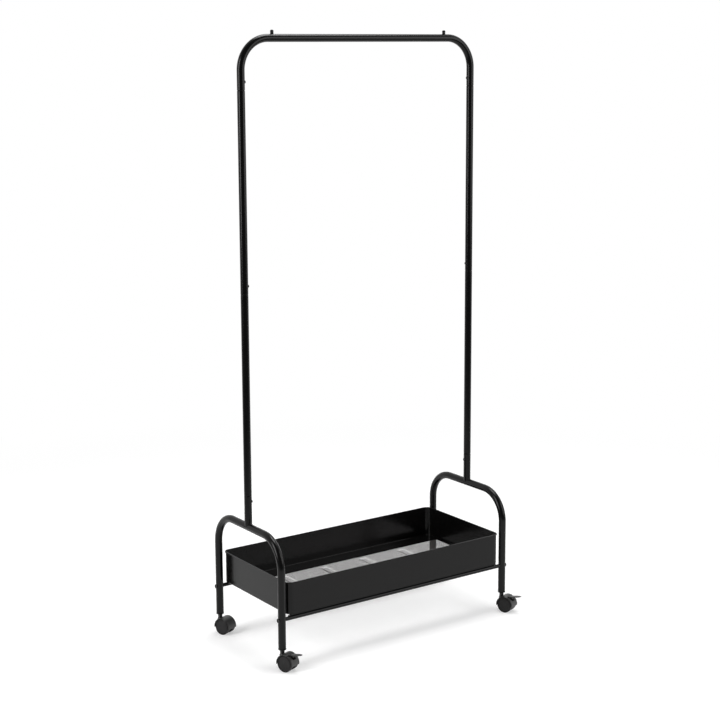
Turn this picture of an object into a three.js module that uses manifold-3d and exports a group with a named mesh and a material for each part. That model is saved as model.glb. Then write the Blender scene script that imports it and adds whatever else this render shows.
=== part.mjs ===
// Rolling clothes rack: a hanging bar on two slip-jointed posts, each post standing on a bent end
// frame, with a mesh-floored basket on two rails between the end frames and a twin-wheel caster
// under each leg. Millimetres, +Z up, X along the hanging bar, the user standing towards -Y.
import * as THREE from 'three';
import { mergeVertices } from 'three/addons/utils/BufferGeometryUtils.js';
import Module from 'manifold-3d';

const wasm = await Module();
wasm.setup();

// ---------------------------------------------------------------- fits shared by all pieces
const seatGap = 0.3; // between two pieces that touch
const cutMargin = 1; // how far a cutting tool runs past the face it opens

// ---------------------------------------------------------------- round steel tube of the frame
const tubeDiameter = 19;
const tubeWall = 1.2;
const tubeBend = 75; // bending radius of the tube's centreline

// ---------------------------------------------------------------- frame
const frameLength = 692; // between the axes of the two posts
const frameDepth = 300; // between the axes of a front leg and a back leg
const legFootHeight = 52; // lower end of the leg tubes
const crownHeight = 320; // centreline of the end frames' level top
const socketLength = 80; // short tube on each crown, from the crown's centreline
const lowerPostLength = 500;
const barHeight = 1509; // centreline of the hanging bar
const barLegLength = 47; // straight end of the bar below each bend

// ---------------------------------------------------------------- slip joints and their screws
const spigotLength = 40; // reduced tube end that slides into the next tube
const jointScrewRise = 20; // screw above the two upper joints
const socketScrewDrop = 16; // screw below the joint at the socket
const jointScrew = { shank: 5, grip: 9, head: 8.4, headHeight: 2.6, headEdge: 1 };

// ---------------------------------------------------------------- hanger stops on the bar
const stopInset = 12.5; // from the end of the bend
const stopDiameter = 9;
const stopHeight = 10;
const stopDomeHeight = 2.5;
const stopShankDiameter = 5;
const stopShankLength = 6;

// ---------------------------------------------------------------- rails under the basket
const railHeight = 124.5;
const railDiameter = 10;
const railBore = 6.6;
const railBolt = { shank: 6, grip: 22, head: 11.5, headHeight: 3.4, headEdge: 1.3 }; // grip past the leg

// ---------------------------------------------------------------- basket
const basketEndGap = 5.5; // between an end wall and the legs
const basketOverhang = 3.5; // of the long walls past the rails' axes
const basketHeight = 81.2;
const basketCorner = 16; // outside radius of the walls' upright corners
const sheetThickness = 0.8;
const rimOverhang = 2; // of the hemmed top edge past the walls
const rimHeight = 3;
const longFlange = 50; // floor border along the front and back walls
const endFlange = 10.5; // floor border along the end walls
const floorCorner = 6;
const restHeight = 4.2; // of the strips on which the basket stands on its rails
const lipDrop = 6; // of a strip's lip down the inner side of its rail

// ---------------------------------------------------------------- mesh floor
const meshThickness = 1;
const meshOverlap = 7; // under the floor border
const meshGrooveWidth = 22; // grooves pressed down across the sheet, which stiffen it
const meshGrooveDepth = 1.6;
const meshGrooveSpacing = 125;
const meshGrooveCount = 4;
const meshGrooveInset = 10; // from a groove's ends to the floor border

// ---------------------------------------------------------------- casters
const casterYawDegrees = 22; // how far the trailing wheels stand turned at rest
const casterTrail = 16; // axle behind the swivel axis
const wheelRadius = 20;
const wheelWidth = 10.7;
const wheelRimThickness = 3;
const wheelFaceThickness = 2.4;
const wheelDish = 0.8;
const wheelHubRadius = 6;
const wheelEdge = 0.9; // chamfer of the tread
const forkThickness = 10; // middle body between the two wheels
const forkHubRadius = 8;
const axleRadius = 3;
const hoodThickness = 1.8;
const hoodClearance = 2; // over the tread
const hoodSkirtDegrees = 8; // how far the hood runs below axle height
const bossRadius = 5.6;
const stemRadius = 4;
const stemPivotRadius = 3;
const stemPivotDepth = 16; // in the boss
const stemCollarRadius = 5.6;
const stemCollarHeight = 2;
const plugFlangeHeight = 2;
const plugFlangeOverhang = 0.5;
const plugDepth = 35;

// ---------------------------------------------------------------- brakes of the front casters
const brakePivotBack = 10; // behind the axle
const brakePivotUp = 21.5; // above the axle
const brakePinRadius = 1.3;
const brakeEarRadius = 2.9;
const brakeEarThickness = 2.5;
const leverWidth = 13;
const leverReach = 32;
const leverThickness = 3;
const leverTipThickness = 2.2;
const leverTipRise = 6;
const shoeStart = 5; // behind the pivot
const shoeEnd = 9.5;
const shoeClearance = 3.5; // between shoe and tread with the brake off
const windowRoom = 1.2; // around the lever's hub and shoe

// ---------------------------------------------------------------- facets round each kind of piece
const tubeFacets = 16;
const copeFacets = 32; // of a tool that shapes one tube's end to another tube's side
const bendSteps = 7;
const wheelFacets = 20;
const hoodSteps = 14; // along the hood, from lip to lip
const fineFacets = 14;
const screwFacets = 10;
const domeSteps = 3; // from a dome's edge to its crown
const cornerFacets = 4; // per quarter of a basket corner

// ---------------------------------------------------------------- places that follow
const tubeRadius = tubeDiameter / 2;
const tubeBore = tubeRadius - tubeWall; // a radius, as the spigots' are
const spigotRadius = tubeBore - seatGap;
const spigotBore = spigotRadius - tubeWall;
const socketTopHeight = crownHeight + socketLength;
const lowerPostFoot = socketTopHeight + seatGap;
const lowerPostTop = lowerPostFoot + lowerPostLength;
const upperPostFoot = lowerPostTop + seatGap;
const barFoot = barHeight - tubeBend - barLegLength;
const upperPostTop = barFoot - seatGap;
const stopX = frameLength / 2 - tubeBend - stopInset;
const topScrewHeight = barFoot + jointScrewRise;
const middleScrewHeight = upperPostFoot + jointScrewRise;
const socketScrewHeight = socketTopHeight - socketScrewDrop;
const screwHoleRadius = jointScrew.shank / 2 + seatGap;
const boltHoleRadius = railBolt.shank / 2 + seatGap;
const plugFoot = legFootHeight - seatGap - plugFlangeHeight;
const basketFoot = railHeight + railDiameter / 2 + seatGap + restHeight;
const basketLength = frameLength - tubeDiameter - 2 * basketEndGap;
const basketDepth = frameDepth + 2 * basketOverhang;
const restLength = basketLength - 2 * basketCorner;
const floorOpeningLength = basketLength - 2 * endFlange;
const floorOpeningDepth = basketDepth - 2 * longFlange;
const stemCollarFoot = plugFoot - seatGap - stemCollarHeight;
const bossTopHeight = stemCollarFoot - seatGap;
const pivotFoot = bossTopHeight - stemPivotDepth;
const hoodInner = wheelRadius + hoodClearance;
const hoodOuter = hoodInner + hoodThickness;
const forkHalf = forkThickness / 2;
const wheelInnerFace = forkHalf + seatGap;
const wheelOuterFace = wheelInnerFace + wheelWidth;
const axleEnd = wheelOuterFace - wheelFaceThickness - seatGap;
const leftAndRight = [['left', -1], ['right', 1]];
const frontAndBack = [['front', -1], ['back', 1]];

// ---------------------------------------------------------------- finishes
const finishes = {
  powderCoat: { color: 0x111112, roughness: 0.42, metalness: 0.0 },
  basketCoat: { color: 0x151516, roughness: 0.5, metalness: 0.0 },
  meshCoat: { color: 0x1b1b1c, roughness: 0.5, metalness: 0.1 },
  screwBlack: { color: 0x0d0d0e, roughness: 0.35, metalness: 0.3 },
  casterPlastic: { color: 0x1c1b1c, roughness: 0.38, metalness: 0.0 },
  wheelPlastic: { color: 0x232123, roughness: 0.5, metalness: 0.0 },
  stemSteel: { color: 0x2a2a2b, roughness: 0.35, metalness: 0.8 },
};

// ---------------------------------------------------------------- solids, joins and cuts

// The closed body of a three.js geometry, for joining and cutting.
function bodyOf(geometry) {
  const bare = geometry.clone();
  bare.deleteAttribute('normal');
  bare.deleteAttribute('uv');
  const merged = mergeVertices(bare, 1e-4);
  const corners = merged.index.array;
  const faces = [];
  for (let i = 0; i < corners.length; i += 3) {
    const [a, b, c] = [corners[i], corners[i + 1], corners[i + 2]];
    if (a !== b && b !== c && c !== a) faces.push(a, b, c);
  }
  return new wasm.Manifold(new wasm.Mesh({
    numProp: 3,
    vertProperties: Float32Array.from(merged.attributes.position.array),
    triVerts: Uint32Array.from(faces),
  }));
}

function geometryOf(body) {
  const mesh = body.getMesh();
  const geometry = new THREE.BufferGeometry();
  geometry.setAttribute('position', new THREE.BufferAttribute(Float32Array.from(mesh.vertProperties), 3));
  geometry.setIndex(new THREE.BufferAttribute(Uint32Array.from(mesh.triVerts), 1));
  geometry.computeVertexNormals();
  return geometry;
}

function join(...geometries) {
  return geometryOf(geometries.map(bodyOf).reduce((whole, next) => whole.add(next)));
}

function cut(geometry, ...tools) {
  return geometryOf(tools.map(bodyOf).reduce((whole, tool) => whole.subtract(tool), bodyOf(geometry)));
}

// A solid turned about Z. The profile lists [radius, height] up the outside.
function turned(profile, facets) {
  const points = profile.map(([radius, height]) => new THREE.Vector2(radius, height));
  return new THREE.LatheGeometry(points, facets).rotateX(Math.PI / 2);
}

// Profile points from a dome's edge up to its crown on the axis.
function domePoints(radius, edge, crown) {
  return Array.from({ length: domeSteps + 1 }, (_, step) => {
    const angle = (step / domeSteps) * (Math.PI / 2);
    return [radius * Math.cos(angle), edge + (crown - edge) * Math.sin(angle)];
  });
}

// A round bar on Z from one height to another.
function barAlongZ(radius, from, to, facets) {
  return turned([[0, from], [radius, from], [radius, to], [0, to]], facets);
}

// A round bar parallel to X from one x to another.
function barAlongX(radius, from, to, facets) {
  return barAlongZ(radius, from, to, facets).rotateY(Math.PI / 2);
}

// Two positions with the lower one first.
function ordered(a, b) {
  return a < b ? [a, b] : [b, a];
}

// A block between two corners.
function block([x0, y0, z0], [x1, y1, z1]) {
  const box = new THREE.BoxGeometry(x1 - x0, y1 - y0, z1 - z0);
  return box.translate((x0 + x1) / 2, (y0 + y1) / 2, (z0 + z1) / 2);
}

// A path that passes through given knots, each with its own direction.
class KnotPath extends THREE.Curve {
  constructor(knots) {
    super();
    this.knots = knots;
  }

  knotAt(share) {
    return this.knots[Math.round(share * (this.knots.length - 1))];
  }

  getPointAt(share, target = new THREE.Vector3()) {
    return target.copy(this.knotAt(share).point);
  }

  getTangentAt(share, target = new THREE.Vector3()) {
    return target.copy(this.knotAt(share).tangent);
  }
}

// Knots of an arch in the XZ plane: up one leg, round two bends and down the other leg.
function archKnots(span, foot, crown) {
  const knots = [];
  const bendX = span / 2 - tubeBend;
  const bendZ = crown - tubeBend;
  const addKnot = (x, z, angle) => knots.push({
    point: new THREE.Vector3(x, 0, z),
    tangent: new THREE.Vector3(Math.sin(angle), 0, Math.cos(angle)),
  });
  addKnot(-span / 2, foot, 0);
  for (let side = 0; side < 2; side += 1) {
    for (let step = 0; step <= bendSteps; step += 1) {
      const turn = (step / bendSteps) * (Math.PI / 2);
      const angle = turn + side * (Math.PI / 2);
      const centreX = side === 0 ? -bendX : bendX;
      addKnot(centreX - tubeBend * Math.cos(angle), bendZ + tubeBend * Math.sin(angle), angle);
    }
  }
  addKnot(span / 2, foot, Math.PI);
  return knots;
}

function roundSweep(knots, radius) {
  const section = new THREE.Shape().absarc(0, 0, radius, 0, 2 * Math.PI, false);
  return new THREE.ExtrudeGeometry(section, {
    steps: knots.length - 1,
    curveSegments: tubeFacets / 2,
    extrudePath: new KnotPath(knots),
  });
}

// An arch of bent tube, open at both feet.
function archTube(span, foot, crown) {
  const outside = roundSweep(archKnots(span, foot, crown), tubeRadius);
  const inside = roundSweep(archKnots(span, foot - cutMargin, crown), tubeBore);
  return cut(outside, inside);
}

// A rectangle with rounded corners about the origin.
function roundedRectangle(length, depth, radius) {
  const x = length / 2 - radius;
  const y = depth / 2 - radius;
  const shape = new THREE.Shape();
  shape.absarc(x, -y, radius, -Math.PI / 2, 0, false);
  shape.absarc(x, y, radius, 0, Math.PI / 2, false);
  shape.absarc(-x, y, radius, Math.PI / 2, Math.PI, false);
  shape.absarc(-x, -y, radius, Math.PI, 1.5 * Math.PI, false);
  shape.closePath();
  return shape;
}

// A rounded block standing on one height and reaching another.
function roundedBlock(length, depth, radius, from, to) {
  const shape = roundedRectangle(length, depth, radius);
  const options = { depth: to - from, bevelEnabled: false, curveSegments: cornerFacets / 2 };
  return new THREE.ExtrudeGeometry(shape, options).translate(0, 0, from);
}

// A flat shape drawn in (Y, Z), given a thickness across X about the middle plane.
function acrossX(shape, width) {
  const options = { depth: width, bevelEnabled: false, curveSegments: hoodSteps / 2 };
  const upright = new THREE.Matrix4().makeBasis(
    new THREE.Vector3(0, 1, 0),
    new THREE.Vector3(0, 0, 1),
    new THREE.Vector3(1, 0, 0),
  );
  return new THREE.ExtrudeGeometry(shape, options).translate(0, 0, -width / 2).applyMatrix4(upright);
}

// ---------------------------------------------------------------- naming and placing

const rack = new THREE.Group();

// Adds one named piece in one of the finishes.
function addPiece(parent, name, geometry, finish) {
  const mesh = new THREE.Mesh(geometry, new THREE.MeshStandardMaterial(finishes[finish]));
  mesh.name = name;
  parent.add(mesh);
}

// ---------------------------------------------------------------- screws and bolts

// A round-headed screw along X, its head's seat at x = 0 and its shank towards -X.
function roundHeadScrew({ shank, grip, head, headHeight, headEdge }) {
  return turned([
    [0, -grip],
    [shank / 2, -grip],
    [shank / 2, 0],
    [head / 2, 0],
    ...domePoints(head / 2, headEdge, headHeight),
  ], screwFacets).rotateY(Math.PI / 2);
}

// Places something built towards +X so that it faces outwards (1) or inwards (-1) from x.
function facing(geometry, side, x, y, z) {
  return geometry.rotateZ(side > 0 ? 0 : Math.PI).translate(x, y, z);
}

// ---------------------------------------------------------------- frame pieces

// Radial hole in the inner side of a post's wall, drilled from the middle of the rack.
function innerSideHole(side, height) {
  const postX = side * frameLength / 2;
  const [from, to] = ordered(postX, postX - side * (tubeRadius + cutMargin));
  return barAlongX(screwHoleRadius, from, to, screwFacets).translate(0, 0, height);
}

// Hanging bar with its two bends, drilled for the joint screws and the stops' shanks.
function topBar() {
  const holes = [-1, 1].flatMap((side) => [
    innerSideHole(side, topScrewHeight),
    barAlongZ(stopShankDiameter / 2 + seatGap, barHeight, barHeight + tubeDiameter, screwFacets)
      .translate(side * stopX, 0, 0),
  ]);
  return cut(archTube(frameLength, barFoot, barHeight), ...holes);
}

// Stud with a domed head, saddled onto the bar and held by its shank through the bar's wall.
function hangerStop(side) {
  const barTop = barHeight + tubeRadius;
  const saddle = barAlongX(tubeRadius + seatGap, -stopDiameter, stopDiameter, copeFacets)
    .translate(0, 0, barHeight);
  const head = cut(turned([
    [0, barHeight],
    [stopDiameter / 2, barHeight],
    ...domePoints(stopDiameter / 2, barTop + stopHeight - stopDomeHeight, barTop + stopHeight),
  ], fineFacets), saddle);
  const shankFoot = barTop - stopShankLength;
  const shank = barAlongZ(stopShankDiameter / 2, shankFoot, barTop + 2 * cutMargin, screwFacets);
  return join(head, shank).translate(side * stopX, 0, 0);
}

// Post with a spigot at its upper end, and at its lower end too where it enters the socket.
function post(foot, top, hasLowerSpigot) {
  const lowerEnd = hasLowerSpigot ? [
    [spigotBore, foot + tubeWall],
    [spigotBore, foot - spigotLength],
    [spigotRadius, foot - spigotLength],
    [spigotRadius, foot],
  ] : [];
  return turned([
    [tubeBore, hasLowerSpigot ? foot + tubeWall : foot],
    ...lowerEnd,
    [tubeRadius, foot],
    [tubeRadius, top],
    [spigotRadius, top],
    [spigotRadius, top + spigotLength],
    [spigotBore, top + spigotLength],
    [spigotBore, top - tubeWall],
    [tubeBore, top - tubeWall],
    [tubeBore, hasLowerSpigot ? foot + tubeWall : foot],
  ], tubeFacets);
}

function lowerPost(side) {
  return cut(
    post(lowerPostFoot, lowerPostTop, true).translate(side * frameLength / 2, 0, 0),
    innerSideHole(side, socketScrewHeight),
    innerSideHole(side, middleScrewHeight),
  );
}

function upperPost(side) {
  return cut(
    post(upperPostFoot, upperPostTop, false).translate(side * frameLength / 2, 0, 0),
    innerSideHole(side, middleScrewHeight),
    innerSideHole(side, topScrewHeight),
  );
}

// Bent end frame with the post's socket welded to its crown.
function endFrame(side) {
  const postX = side * frameLength / 2;
  const arch = archTube(frameDepth, legFootHeight, crownHeight).rotateZ(Math.PI / 2);
  const socketTube = turned([
    [tubeBore, crownHeight],
    [tubeRadius, crownHeight],
    [tubeRadius, socketTopHeight],
    [tubeBore, socketTopHeight],
    [tubeBore, crownHeight],
  ], tubeFacets);
  const cope = barAlongX(tubeRadius - tubeWall / 2, -tubeDiameter, tubeDiameter, tubeFacets)
    .rotateZ(Math.PI / 2)
    .translate(0, 0, crownHeight);
  const welded = join(arch, cut(socketTube, cope)).translate(postX, 0, 0);
  const boltHoles = frontAndBack.map(([, depthSide]) => (
    barAlongX(boltHoleRadius, postX - tubeDiameter, postX + tubeDiameter, screwFacets)
      .translate(0, depthSide * frameDepth / 2, railHeight)
  ));
  return cut(welded, innerSideHole(side, socketScrewHeight), ...boltHoles);
}

// Screw on the inner side of a post, at one of its joints.
function jointScrewAt(side, height) {
  const seatX = side * (frameLength / 2 - tubeRadius - seatGap);
  return facing(roundHeadScrew(jointScrew), -side, seatX, 0, height);
}

// Rail between two legs, its ends coped to fit the round legs.
function rail(depthSide) {
  const end = frameLength / 2;
  const cope = (side) => barAlongZ(tubeRadius + seatGap, -railDiameter, railDiameter, copeFacets)
    .translate(side * end, 0, 0);
  const tube = cut(
    barAlongX(railDiameter / 2, -end, end, fineFacets),
    barAlongX(railBore / 2, -end - cutMargin, end + cutMargin, screwFacets),
    cope(-1),
    cope(1),
  );
  return tube.translate(0, depthSide * frameDepth / 2, railHeight);
}

// Bolt from outside through a leg into the end of its rail.
function railBoltAt(side, depthSide) {
  const bolt = { ...railBolt, grip: railBolt.grip + tubeDiameter };
  const seatX = side * (frameLength / 2 + tubeRadius + seatGap);
  return facing(roundHeadScrew(bolt), side, seatX, depthSide * frameDepth / 2, railHeight);
}

// ---------------------------------------------------------------- basket pieces

// Folded strip under a long side: a web that stands on the rail, with a lip down its inner side.
function restStrip([, depthSide]) {
  const railAxis = frameDepth / 2;
  const webOuter = railAxis + sheetThickness / 2;
  const lipOuter = railAxis - railDiameter / 2 - seatGap;
  const lipInner = lipOuter - sheetThickness;
  const foot = basketFoot - restHeight;
  const folds = [
    [webOuter - sheetThickness, webOuter, foot, basketFoot + sheetThickness / 2],
    [lipInner, webOuter, foot, foot + sheetThickness],
    [lipInner, lipOuter, foot - lipDrop, foot + sheetThickness],
  ];
  return folds.map(([inner, outer, from, to]) => {
    const [near, far] = ordered(depthSide * inner, depthSide * outer);
    return block([-restLength / 2, near, from], [restLength / 2, far, to]);
  });
}

// Open-floored shell with a hemmed rim, a floor border and the two strips it stands on.
function basketShell() {
  const top = basketFoot + basketHeight;
  const outlineAt = (inset, from, to) => roundedBlock(
    basketLength - 2 * inset,
    basketDepth - 2 * inset,
    basketCorner - inset,
    from,
    to,
  );
  const walls = outlineAt(0, basketFoot, top);
  const rim = outlineAt(-rimOverhang, top - rimHeight, top);
  return cut(
    join(walls, rim, ...frontAndBack.flatMap(restStrip)),
    outlineAt(sheetThickness, basketFoot + sheetThickness, top + cutMargin),
    roundedBlock(floorOpeningLength, floorOpeningDepth, floorCorner, basketFoot - cutMargin, top),
  );
}

// Mesh panel under the floor border, drawn as a plain sheet with grooves pressed down across it.
function basketMesh() {
  const top = basketFoot - seatGap;
  const sheet = roundedBlock(
    floorOpeningLength + 2 * meshOverlap,
    floorOpeningDepth + 2 * meshOverlap,
    floorCorner,
    top - meshThickness,
    top,
  );
  const halfDepth = floorOpeningDepth / 2 - meshGrooveInset;
  const grooveBlocks = (inset, from, to) => Array.from({ length: meshGrooveCount }, (_, i) => {
    const x = (i - (meshGrooveCount - 1) / 2) * meshGrooveSpacing;
    const halfWidth = meshGrooveWidth / 2 - inset;
    return block(
      [x - halfWidth, inset - halfDepth, from],
      [x + halfWidth, halfDepth - inset, to],
    );
  });
  const bottom = top - meshGrooveDepth;
  const troughs = grooveBlocks(0, bottom - meshThickness, top - meshThickness / 2);
  const hollows = grooveBlocks(meshThickness, bottom, top + cutMargin);
  return cut(join(sheet, ...troughs), ...hollows);
}

// ---------------------------------------------------------------- caster pieces
// Each is drawn about the swivel axis, with the wheels trailing towards -Y.

// Plastic plug in the leg's end, with the stem's bore through it.
function legPlug() {
  const bore = stemRadius + seatGap;
  return turned([
    [bore, plugFoot],
    [tubeRadius + plugFlangeOverhang, plugFoot],
    [tubeRadius + plugFlangeOverhang, plugFoot + plugFlangeHeight],
    [tubeBore - seatGap, plugFoot + plugFlangeHeight],
    [tubeBore - seatGap, plugFoot + plugDepth],
    [bore, plugFoot + plugDepth],
    [bore, plugFoot],
  ], tubeFacets);
}

// Stem that stands fixed in the plug, its collar over the boss that turns on its lower end.
function casterStem() {
  const collarTop = plugFoot - seatGap;
  return turned([
    [0, pivotFoot + seatGap],
    [stemPivotRadius, pivotFoot + seatGap],
    [stemPivotRadius, stemCollarFoot],
    [stemCollarRadius, stemCollarFoot],
    [stemCollarRadius, collarTop],
    [stemRadius, collarTop],
    [stemRadius, plugFoot + plugDepth - seatGap],
    [0, plugFoot + plugDepth - seatGap],
  ], fineFacets);
}

// Half ring or half disc over the wheels, drawn in (Y, Z) round the axle.
function hoodSector(outer, inner) {
  const skirt = THREE.MathUtils.degToRad(hoodSkirtDegrees);
  const shape = new THREE.Shape();
  shape.absarc(-casterTrail, wheelRadius, outer, -skirt, Math.PI + skirt, false);
  if (inner > 0) shape.absarc(-casterTrail, wheelRadius, inner, Math.PI + skirt, -skirt, true);
  shape.closePath();
  return shape;
}

function atAxle(geometry) {
  return geometry.translate(0, -casterTrail, wheelRadius);
}

function brakePivot(geometry) {
  return geometry.translate(0, -casterTrail - brakePivotBack, wheelRadius + brakePivotUp);
}

// Lugs that carry the brake lever's pin.
function brakeEars() {
  const inner = leverWidth / 2 + seatGap;
  const outer = inner + brakeEarThickness;
  return [-1, 1].flatMap((side) => {
    const [from, to] = ordered(side * inner, side * outer);
    return [
      barAlongX(brakeEarRadius, from, to, fineFacets),
      block([from, -brakeEarRadius, hoodInner - brakePivotUp - cutMargin], [to, brakeEarRadius, 0]),
    ].map(brakePivot);
  });
}

// Opening in the hood and the middle body, round the lever's hub and back to behind its shoe.
function brakeWindow() {
  const half = leverWidth / 2 + seatGap;
  const halfwayDown = wheelRadius / 2 - brakePivotUp;
  return brakePivot(block(
    [-half, -shoeEnd - windowRoom, halfwayDown],
    [half, brakeEarRadius + windowRoom, brakeEarRadius + windowRoom],
  ));
}

// One-piece moulding: hood over both wheels, middle body between them and swivel boss.
function casterHood(hasBrake) {
  const width = 2 * wheelOuterFace;
  const pocketRadius = hoodInner - seatGap;
  const shell = acrossX(hoodSector(hoodOuter, hoodInner), width);
  const middle = acrossX(hoodSector(hoodInner + hoodThickness / 2, 0), forkThickness);
  const hub = atAxle(barAlongX(forkHubRadius, -forkHalf, forkHalf, fineFacets));
  const boss = barAlongZ(bossRadius, wheelRadius, bossTopHeight, fineFacets);
  const pockets = [-1, 1].map((side) => {
    const [from, to] = ordered(side * forkHalf, side * (wheelOuterFace + cutMargin));
    return atAxle(barAlongX(pocketRadius, from, to, wheelFacets));
  });
  return cut(
    join(shell, middle, hub, boss, ...(hasBrake ? brakeEars() : [])),
    ...pockets,
    atAxle(barAlongX(axleRadius + seatGap, -wheelOuterFace, wheelOuterFace, fineFacets)),
    barAlongZ(stemPivotRadius + seatGap, pivotFoot, bossTopHeight + cutMargin, fineFacets),
    ...(hasBrake ? [
      brakePivot(barAlongX(brakePinRadius + seatGap, -wheelOuterFace, wheelOuterFace, screwFacets)),
      brakeWindow(),
    ] : []),
  );
}

function casterAxle() {
  return atAxle(barAlongX(axleRadius, -axleEnd, axleEnd, fineFacets));
}

// Wheel with a closed, dished outer face and a hollow inner side round its hub.
function casterWheel(side) {
  const faceBack = wheelOuterFace - wheelFaceThickness;
  const rimInside = wheelRadius - wheelRimThickness;
  return atAxle(facing(turned([
    [0, faceBack],
    [axleRadius + seatGap, faceBack],
    [axleRadius + seatGap, wheelInnerFace],
    [wheelHubRadius, wheelInnerFace],
    [wheelHubRadius, faceBack],
    [rimInside, faceBack],
    [rimInside, wheelInnerFace],
    [wheelRadius, wheelInnerFace],
    [wheelRadius, wheelOuterFace - wheelEdge],
    [wheelRadius - wheelEdge, wheelOuterFace],
    [rimInside, wheelOuterFace],
    [rimInside - wheelDish, wheelOuterFace - wheelDish],
    [0, wheelOuterFace - wheelDish],
  ], wheelFacets).rotateY(Math.PI / 2), side, 0, 0, 0));
}

function brakePin() {
  const end = leverWidth / 2 + seatGap + brakeEarThickness;
  return brakePivot(barAlongX(brakePinRadius, -end, end, screwFacets));
}

// Foot lever: a round hub on the pin, a tapering plate back to the tip and a shoe under it.
function brakeLever() {
  const hubRadius = brakeEarRadius - seatGap;
  const plate = new THREE.Shape([
    new THREE.Vector2(0, leverThickness / 2),
    new THREE.Vector2(0, -leverThickness / 2),
    new THREE.Vector2(-leverReach, leverTipRise - leverTipThickness / 2),
    new THREE.Vector2(-leverReach, leverTipRise + leverTipThickness / 2),
  ]);
  const treadAt = (back) => {
    const reach = wheelRadius + shoeClearance;
    const behindAxle = brakePivotBack + back;
    return Math.sqrt(reach * reach - behindAxle * behindAxle) - brakePivotUp;
  };
  const shoe = new THREE.Shape([
    new THREE.Vector2(-shoeStart, 0),
    new THREE.Vector2(-shoeStart, treadAt(shoeStart)),
    new THREE.Vector2(-shoeEnd, treadAt(shoeEnd)),
    new THREE.Vector2(-shoeEnd, 0),
  ]);
  const body = join(
    barAlongX(hubRadius, -leverWidth / 2, leverWidth / 2, fineFacets),
    acrossX(plate, leverWidth),
    acrossX(shoe, leverWidth),
  );
  return brakePivot(cut(body, barAlongX(brakePinRadius + seatGap, -leverWidth, leverWidth, screwFacets)));
}

function addCaster(place, x, y, hasBrake) {
  const caster = new THREE.Group();
  caster.position.set(x, y, 0);
  caster.rotation.z = THREE.MathUtils.degToRad(casterYawDegrees);
  rack.add(caster);
  addPiece(caster, `${place}_leg_plug`, legPlug(), 'casterPlastic');
  addPiece(caster, `${place}_caster_stem`, casterStem(), 'stemSteel');
  addPiece(caster, `${place}_caster_hood`, casterHood(hasBrake), 'casterPlastic');
  addPiece(caster, `${place}_caster_axle`, casterAxle(), 'stemSteel');
  leftAndRight.forEach(([hand, side]) => {
    addPiece(caster, `${place}_caster_${hand}_wheel`, casterWheel(side), 'wheelPlastic');
  });
  if (hasBrake) {
    addPiece(caster, `${place}_brake_pin`, brakePin(), 'stemSteel');
    addPiece(caster, `${place}_brake_lever`, brakeLever(), 'casterPlastic');
  }
}

// ---------------------------------------------------------------- assembly

addPiece(rack, 'top_bar', topBar(), 'powderCoat');
leftAndRight.forEach(([hand, side]) => {
  addPiece(rack, `hanger_stop_${hand}`, hangerStop(side), 'powderCoat');
  addPiece(rack, `upper_post_${hand}`, upperPost(side), 'powderCoat');
  addPiece(rack, `lower_post_${hand}`, lowerPost(side), 'powderCoat');
  addPiece(rack, `end_frame_${hand}`, endFrame(side), 'powderCoat');
  addPiece(rack, `top_joint_screw_${hand}`, jointScrewAt(side, topScrewHeight), 'screwBlack');
  addPiece(rack, `middle_joint_screw_${hand}`, jointScrewAt(side, middleScrewHeight), 'screwBlack');
  addPiece(rack, `socket_screw_${hand}`, jointScrewAt(side, socketScrewHeight), 'screwBlack');
});
frontAndBack.forEach(([row, depthSide]) => {
  addPiece(rack, `${row}_rail`, rail(depthSide), 'powderCoat');
  leftAndRight.forEach(([hand, side]) => {
    addPiece(rack, `${row}_${hand}_rail_bolt`, railBoltAt(side, depthSide), 'screwBlack');
    addCaster(`${row}_${hand}`, side * frameLength / 2, depthSide * frameDepth / 2, row === 'front');
  });
});
addPiece(rack, 'basket_shell', basketShell(), 'basketCoat');
addPiece(rack, 'basket_mesh', basketMesh(), 'meshCoat');

// The origin is on the floor under the middle of the whole rack's outline.
rack.updateMatrixWorld(true);
const outlineMiddle = new THREE.Box3().setFromObject(rack, true).getCenter(new THREE.Vector3());
rack.position.set(-outlineMiddle.x, -outlineMiddle.y, 0);

export default rack;
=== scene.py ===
from math import acos, atan2, cos, pi, radians, sin, sqrt, tan, tau

import bmesh
import bpy
from mathutils import Matrix, Vector


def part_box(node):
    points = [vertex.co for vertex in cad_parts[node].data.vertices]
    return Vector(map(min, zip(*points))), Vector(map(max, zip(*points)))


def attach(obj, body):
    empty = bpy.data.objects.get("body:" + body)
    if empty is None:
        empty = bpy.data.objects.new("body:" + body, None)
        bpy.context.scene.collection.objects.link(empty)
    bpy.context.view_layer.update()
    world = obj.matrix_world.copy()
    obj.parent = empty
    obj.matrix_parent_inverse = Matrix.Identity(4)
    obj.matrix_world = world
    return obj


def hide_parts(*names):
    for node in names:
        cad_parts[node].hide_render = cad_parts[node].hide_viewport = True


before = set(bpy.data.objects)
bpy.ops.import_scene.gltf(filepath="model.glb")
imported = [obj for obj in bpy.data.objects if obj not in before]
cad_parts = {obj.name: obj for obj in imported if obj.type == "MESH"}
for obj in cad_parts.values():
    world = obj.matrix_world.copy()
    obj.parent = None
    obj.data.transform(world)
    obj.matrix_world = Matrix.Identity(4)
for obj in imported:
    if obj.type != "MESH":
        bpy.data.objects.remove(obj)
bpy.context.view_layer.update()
scene = bpy.context.scene
finishes = {}
mm = 0.001


# ---------------- places taken from the frame

def centre_of(node):
    low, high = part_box(node)
    return (low + high) / 2


def size_of(node):
    low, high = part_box(node)
    return high - low


seat_gap = 0.3 * mm
overlap = 1 * mm  # by which solids that join, or cut each other, pass through
hands = {"left": -1, "right": 1}  # with the side of the rack's middle that each is on
rows = ("front", "back")

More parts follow.
